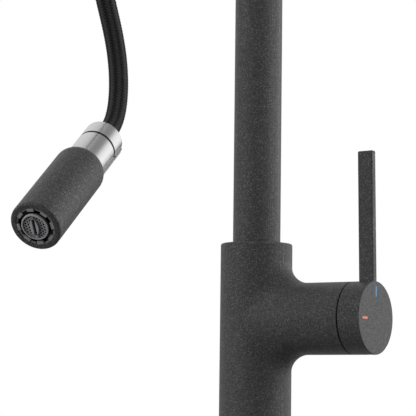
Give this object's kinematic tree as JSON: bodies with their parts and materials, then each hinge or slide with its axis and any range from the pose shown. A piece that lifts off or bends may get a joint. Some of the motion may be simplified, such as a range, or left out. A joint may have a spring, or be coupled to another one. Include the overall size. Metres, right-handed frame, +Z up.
{
  "type": "pull down kitchen faucet",
  "caption": "Tall single-lever kitchen faucet with a high arched spout and a pull-down spray head hanging on its braided hose.",
  "frame": {"origin": "on the deck surface, on the axis of the column and of the deck hole", "axes": "+Z up along the column, -Y the way the spout reaches, +X the side that carries the handle"},
  "size_m": [0.1126, 0.3365, 0.802],
  "materials": {
    "granite_coat": "satin",
    "bright_chrome": "polished",
    "hose_braid": "matte",
    "dark_plastic": "matte",
    "face_plastic": "satin",
    "white_plastic": "satin",
    "black_rubber": "matte",
    "yellow_brass": "satin",
    "zinc_steel": "satin",
    "copper_pipe": "satin",
    "ceramic_white": "satin",
    "weight_coat": "matte",
    "blue_enamel": "gloss",
    "red_enamel": "gloss"
  },
  "bodies": {
    "base": {"body_shell": "granite_coat", "base_ring": "granite_coat", "base_gasket": "black_rubber", "thrust_washer": "white_plastic", "lower_swivel_bush": "white_plastic", "upper_swivel_bush": "dark_plastic", "swivel_oring": "black_rubber", "spout_stop_screw": "zinc_steel", "mounting_shank": "yellow_brass", "rubber_washer": "black_rubber", "steel_washer": "zinc_steel", "mounting_nut": "yellow_brass", "jack_screws": "zinc_steel", "valve_seat": "yellow_brass", "cartridge_base": "white_plastic", "cartridge_seals": "black_rubber", "cartridge_housing": "white_plastic", "cartridge_nut": "yellow_brass", "fixed_disc": "ceramic_white", "outlet_pipe": "copper_pipe", "outlet_connector": "yellow_brass", "hose_end_fitting": "yellow_brass", "hose_in_column": "hose_braid", "hose_loop": "hose_braid"},
    "mixer": {"stem_carrier": "white_plastic", "pivot_pin": "zinc_steel", "dome_cover": "dark_plastic"},
    "disc_slider": {"moving_disc": "ceramic_white", "disc_coupler": "white_plastic"},
    "handle": {"handle_lever": "granite_coat", "cold_mark": "blue_enamel", "hot_mark": "red_enamel", "handle_grub_screw": "zinc_steel", "screw_plug": "dark_plastic", "valve_spindle": "yellow_brass"},
    "spout": {"spout_tube": "granite_coat", "outlet_guide": "dark_plastic", "hose_in_spout": "hose_braid"},
    "pulled_hose": {"hose_in_outlet": "hose_braid", "hose_free": "hose_braid", "swivel_nut": "bright_chrome", "hose_spigot": "yellow_brass", "spigot_seals": "black_rubber", "spigot_clip": "zinc_steel", "crimp_ferrule": "zinc_steel"},
    "spray_head": {"docking_shank": "bright_chrome", "head_shell": "granite_coat", "swivel_ring": "dark_plastic", "check_valve": "white_plastic", "head_waterway": "white_plastic", "spray_ring": "face_plastic", "nozzle_plate": "dark_plastic", "aerator_housing": "face_plastic", "aerator_screen": "face_plastic", "aerator_seal": "black_rubber"},
    "weight": {"counterweight": "weight_coat", "weight_screws": "zinc_steel"}
  },
  "joints": [
    {"name": "spout_swivel", "type": "hinge", "parent": "base", "child": "spout", "pos_m": [0, 0, 0.135], "axis": [0, 0, 1], "range_deg": [-70, 70]},
    {"name": "handle_turn", "type": "hinge", "parent": "base", "child": "mixer", "pos_m": [0.054, 0, 0.1], "axis": [1, 0, 0], "range_deg": [0, 90]},
    {"name": "handle_tilt", "type": "hinge", "parent": "mixer", "child": "handle", "pos_m": [0.054, 0, 0.1], "axis": [0, 1, 0], "range_deg": [0, 20]},
    {"name": "disc_slide", "type": "slide", "parent": "mixer", "child": "disc_slider", "axis": [0, 0, 1], "range_m": [0, 0.0024]},
    {"name": "pull_down", "type": "slide", "parent": "spout", "child": "pulled_hose", "axis": [0, 0, -1], "range_m": [0, 0.03]},
    {"name": "head_swivel", "type": "hinge", "parent": "pulled_hose", "child": "spray_head", "pos_m": [-0.00161, -0.17266, 0.18843], "axis": [-0.121, 0.7947, 0.5948], "continuous": true},
    {"name": "weight_lift", "type": "slide", "parent": "base", "child": "weight", "axis": [0, 0, 1], "range_m": [0, 0.03]}
  ],
  "couplings": [
    {"joint": "disc_slide", "follows": "handle_tilt", "m_per_rad": 0.0068},
    {"joint": "weight_lift", "follows": "pull_down", "ratio": 1}
  ]
}
